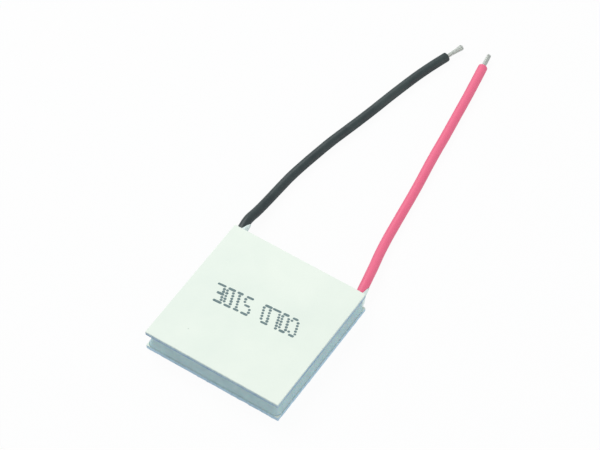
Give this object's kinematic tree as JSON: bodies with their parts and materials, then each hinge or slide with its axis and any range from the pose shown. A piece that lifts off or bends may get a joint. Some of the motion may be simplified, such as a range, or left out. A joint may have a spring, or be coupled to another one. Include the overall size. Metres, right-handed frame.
{
  "type": "thermoelectric cooling module",
  "caption": "Square ceramic thermoelectric cooling module: a series chain of pellets and copper tabs between two plates, sealed at the edge, with two free leads.",
  "frame": {"origin": "centre of the hot face, on the plane that the module rests on", "axes": "+Z from the hot face to the cold face; +Y towards the edge that the leads come out of; +X from the black lead to the red lead"},
  "size_m": [0.0237, 0.0739, 0.0042],
  "materials": {
    "ceramic": "fine matt ground alumina",
    "silicone": "satin grey-blue silicone",
    "lead_silicone": "satin pale silicone",
    "black_jacket": "satin wire insulation",
    "red_jacket": "satin wire insulation",
    "tinned_strands": "tinned copper strands",
    "solder": "dull bright solder",
    "copper": "bright flat copper",
    "p_semiconductor": "cut crystalline alloy",
    "n_semiconductor": "cut crystalline alloy"
  },
  "bodies": {
    "root": {"hot_plate": "ceramic", "cold_plate": "ceramic", "perimeter_seal": "silicone", "black_lead_jacket": "black_jacket", "red_lead_jacket": "red_jacket", "black_lead_root": "tinned_strands", "red_lead_root": "tinned_strands", "black_lead_tip": "tinned_strands", "red_lead_tip": "tinned_strands", "black_lead_sealant": "lead_silicone", "red_lead_sealant": "lead_silicone", "black_solder_joint": "solder", "red_solder_joint": "solder", "black_terminal_tab": "copper", "red_terminal_tab": "copper", "p_pellets_column_01": "p_semiconductor", "p_pellets_column_02": "p_semiconductor", "p_pellets_column_03": "p_semiconductor", "p_pellets_column_04": "p_semiconductor", "p_pellets_column_05": "p_semiconductor", "p_pellets_column_06": "p_semiconductor", "p_pellets_column_07": "p_semiconductor", "p_pellets_column_08": "p_semiconductor", "p_pellets_column_09": "p_semiconductor", "p_pellets_column_10": "p_semiconductor", "p_pellets_column_11": "p_semiconductor", "p_pellets_column_12": "p_semiconductor", "n_pellets_column_01": "n_semiconductor", "n_pellets_column_02": "n_semiconductor", "n_pellets_column_03": "n_semiconductor", "n_pellets_column_04": "n_semiconductor", "n_pellets_column_05": "n_semiconductor", "n_pellets_column_06": "n_semiconductor", "n_pellets_column_07": "n_semiconductor", "n_pellets_column_08": "n_semiconductor", "n_pellets_column_09": "n_semiconductor", "n_pellets_column_10": "n_semiconductor", "n_pellets_column_11": "n_semiconductor", "n_pellets_column_12": "n_semiconductor", "hot_tabs_columns_01_02": "copper", "hot_tabs_columns_03_04": "copper", "hot_tabs_columns_05_06": "copper", "hot_tabs_columns_07_08": "copper", "hot_tabs_columns_09_10": "copper", "hot_tabs_columns_11_12": "copper", "cold_tabs_columns_01_02": "copper", "cold_tabs_columns_03_04": "copper", "cold_tabs_columns_05_06": "copper", "cold_tabs_columns_07_08": "copper", "cold_tabs_columns_09_10": "copper", "cold_tabs_columns_11_12": "copper", "cold_bridges_front": "copper", "cold_bridges_rear": "copper", "hot_solder_films": "solder", "cold_solder_films": "solder"}
  },
  "joints": []
}
